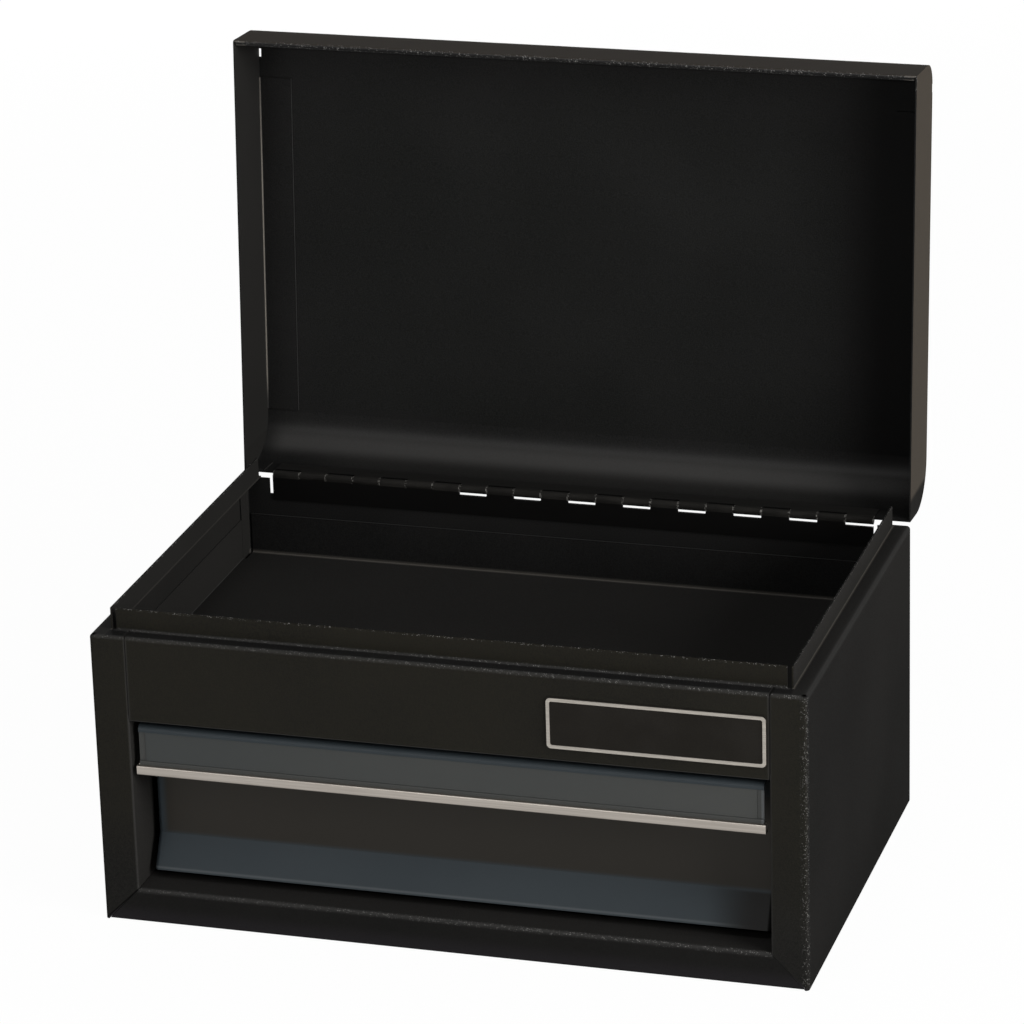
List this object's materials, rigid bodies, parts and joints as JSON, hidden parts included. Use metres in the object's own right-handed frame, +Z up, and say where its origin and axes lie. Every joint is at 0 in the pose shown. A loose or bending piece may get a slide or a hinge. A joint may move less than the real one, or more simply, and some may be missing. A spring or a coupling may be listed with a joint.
{
  "type": "machinist tool chest",
  "caption": "Small steel tool chest with a lift-up lid on a piano hinge over an open tray, and a drawer on ball slides below.",
  "frame": {"origin": "middle of the base, on the surface the chest stands on", "axes": "+Z up, front of the chest faces -Y, +X to the right seen from the front; the lid stands open"},
  "size_m": [0.4, 0.3153, 0.4296],
  "materials": {
    "black_powder_coat": "fine textured black powder coat",
    "hinge_steel": "steel painted black, worn on the knuckles",
    "slate_paint": "satin slate grey paint",
    "drawer_pan_paint": "black powder coat",
    "plate_field": "matt black blank plate",
    "plate_border": "satin silver raised border",
    "label_strip": "satin grey blank label strip",
    "trim_aluminium": "anodised, brushed along its length",
    "zinc_plated_steel": "bright zinc plate",
    "bearing_steel": "polished steel",
    "rivet_steel": "zinc plated rivets"
  },
  "bodies": {
    "cabinet": {"left_side_panel": "black_powder_coat", "right_side_panel": "black_powder_coat", "header_panel": "black_powder_coat", "bottom_panel": "black_powder_coat", "back_panel": "black_powder_coat", "tray_pan": "black_powder_coat", "badge_plate": "plate_field", "badge_border": "plate_border", "hinge_body_leaf": "hinge_steel", "hinge_pin": "hinge_steel", "left_slide_bracket": "black_powder_coat", "right_slide_bracket": "black_powder_coat", "left_slide_outer": "zinc_plated_steel", "right_slide_outer": "zinc_plated_steel", "slide_bracket_rivets": "rivet_steel"},
    "lid": {"lid_shell": "black_powder_coat", "lid_left_end": "black_powder_coat", "lid_right_end": "black_powder_coat", "hinge_lid_leaf": "hinge_steel"},
    "drawer": {"drawer_front": "slate_paint", "drawer_pan": "drawer_pan_paint", "drawer_pull": "slate_paint", "pull_label": "label_strip", "pull_trim": "trim_aluminium", "left_slide_inner": "zinc_plated_steel", "right_slide_inner": "zinc_plated_steel", "drawer_rivets": "rivet_steel"},
    "left_ball_train": {"left_ball_cage": "zinc_plated_steel", "left_balls": "bearing_steel"},
    "right_ball_train": {"right_ball_cage": "zinc_plated_steel", "right_balls": "bearing_steel"}
  },
  "joints": [
    {"name": "lid_hinge", "type": "hinge", "parent": "cabinet", "child": "lid", "pos_m": [0, 0.1287, 0.1714], "axis": [1, 0, 0], "range_deg": [0, 93.5]},
    {"name": "drawer_slide", "type": "slide", "parent": "cabinet", "child": "drawer", "axis": [0, -1, 0], "range_m": [0, 0.14]},
    {"name": "left_ball_train_slide", "type": "slide", "parent": "cabinet", "child": "left_ball_train", "axis": [0, -1, 0], "range_m": [0, 0.07]},
    {"name": "right_ball_train_slide", "type": "slide", "parent": "cabinet", "child": "right_ball_train", "axis": [0, -1, 0], "range_m": [0, 0.07]}
  ],
  "couplings": [
    {"joint": "left_ball_train_slide", "follows": "drawer_slide", "ratio": 0.5},
    {"joint": "right_ball_train_slide", "follows": "drawer_slide", "ratio": 0.5}
  ]
}
